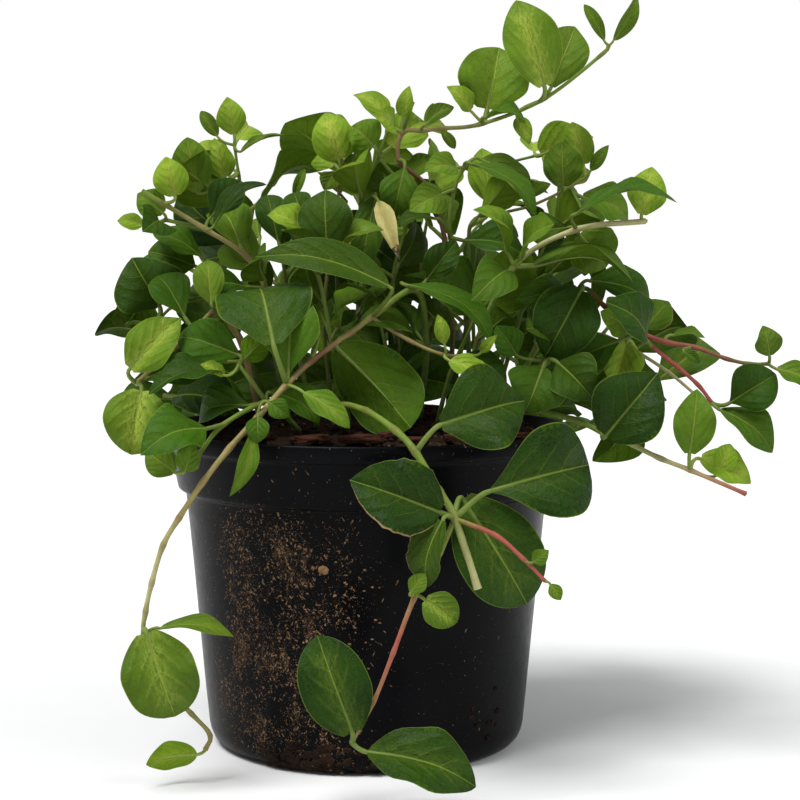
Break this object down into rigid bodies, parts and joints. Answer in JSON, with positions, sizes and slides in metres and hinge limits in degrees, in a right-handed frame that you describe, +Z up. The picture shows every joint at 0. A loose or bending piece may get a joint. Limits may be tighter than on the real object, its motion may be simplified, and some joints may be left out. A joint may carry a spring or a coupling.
{
  "type": "potted periwinkle",
  "caption": "Trailing broad-leaved periwinkle with arching and hanging leafy shoots, growing from soil and bark in a round black nursery pot.",
  "frame": {"origin": "centre of the pot's flat underside, on the surface that it stands on", "axes": "+Z up along the pot's axis, -Y towards the front, where the long runners hang over the rim, +X to the right seen from the front"},
  "size_m": [0.3248, 0.3017, 0.345],
  "materials": {
    "pot_plastic": "satin black, dusted with dry potting mix",
    "potting_mix": "damp, crumbly",
    "bark": "rough",
    "leaf": "waxy leaf and stem",
    "stem": "smooth, slightly ridged",
    "dead_leaf": "dry and papery"
  },
  "bodies": {
    "root": {"pot": "pot_plastic", "soil": "potting_mix", "bark_chip_1": "bark", "bark_chip_2": "bark", "bark_chip_3": "bark", "bark_chip_4": "bark", "bark_chip_5": "bark", "bark_chip_6": "bark", "bark_chip_7": "bark", "bark_chip_8": "bark", "bark_chip_9": "bark", "bark_chip_10": "bark", "shoot_top_right": "leaf", "shoot_top_middle": "leaf", "shoot_heart_leaf": "leaf", "shoot_upper_left": "leaf", "shoot_upper_left_back": "leaf", "shoot_left_back": "leaf", "shoot_tan_left": "leaf", "shoot_left_rim": "leaf", "shoot_main_runner": "leaf", "shoot_middle_left": "leaf", "shoot_front_runner": "leaf", "shoot_middle_right": "leaf", "shoot_right_high": "leaf", "shoot_right_high_back": "leaf", "shoot_right_top": "leaf", "shoot_right_arch": "leaf", "shoot_right_runner": "leaf", "shoot_right_low": "leaf", "shoot_back_left_low": "leaf", "shoot_back_left_high": "leaf", "shoot_back_middle_low": "leaf", "shoot_back_middle_high": "leaf", "shoot_back_right_low": "leaf", "shoot_back_right_high": "leaf", "shoot_right_side": "leaf", "shoot_left_side": "leaf", "shoot_inner_front_left": "leaf", "shoot_inner_front_middle": "leaf", "shoot_inner_front_right": "leaf", "shoot_inner_middle": "leaf", "shoot_inner_left": "leaf", "shoot_inner_right": "leaf", "shoot_inner_back_left": "leaf", "shoot_inner_back_right": "leaf", "shoot_inner_right_back": "leaf", "shoot_low_1": "leaf", "shoot_low_2": "leaf", "shoot_low_3": "leaf", "shoot_low_4": "leaf", "shoot_low_5": "leaf", "shoot_low_6": "leaf", "shoot_low_7": "leaf", "dead_leaf": "dead_leaf"}
  },
  "joints": []
}
